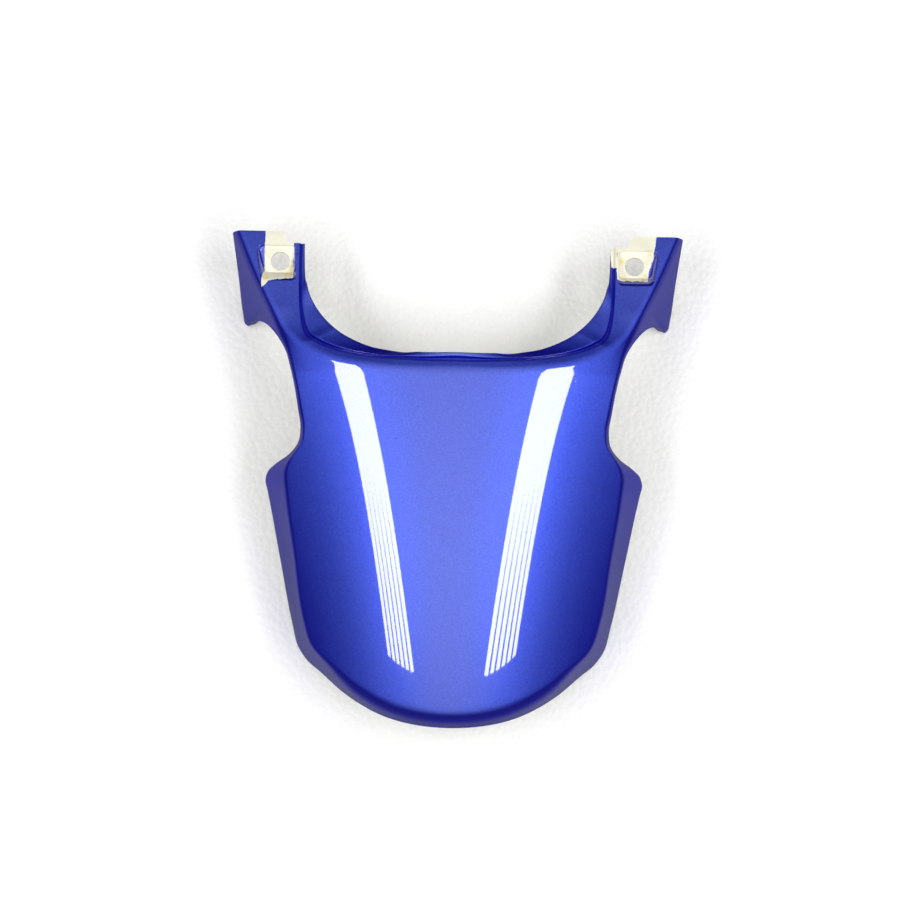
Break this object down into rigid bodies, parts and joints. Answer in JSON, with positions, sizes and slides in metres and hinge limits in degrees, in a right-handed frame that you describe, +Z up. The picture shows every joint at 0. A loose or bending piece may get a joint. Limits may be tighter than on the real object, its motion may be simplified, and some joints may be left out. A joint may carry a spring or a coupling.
{
  "type": "motorcycle tail fairing",
  "caption": "Painted plastic tail fairing: a crowned rear shell with a cut-out for the seat, two forward arms with screw holes, side notches and a rolled rear rim.",
  "frame": {"origin": "on the ground plane, under the centre of the part's bounding box", "axes": "+X to the right, +Y to the front of the motorcycle along the part's length, +Z up and along the screw holes"},
  "size_m": [0.267, 0.289, 0.082],
  "materials": {
    "paint": "blue metallic paint with clear coat over cream plastic"
  },
  "bodies": {
    "root": {"tail_fairing": "paint"}
  },
  "joints": []
}
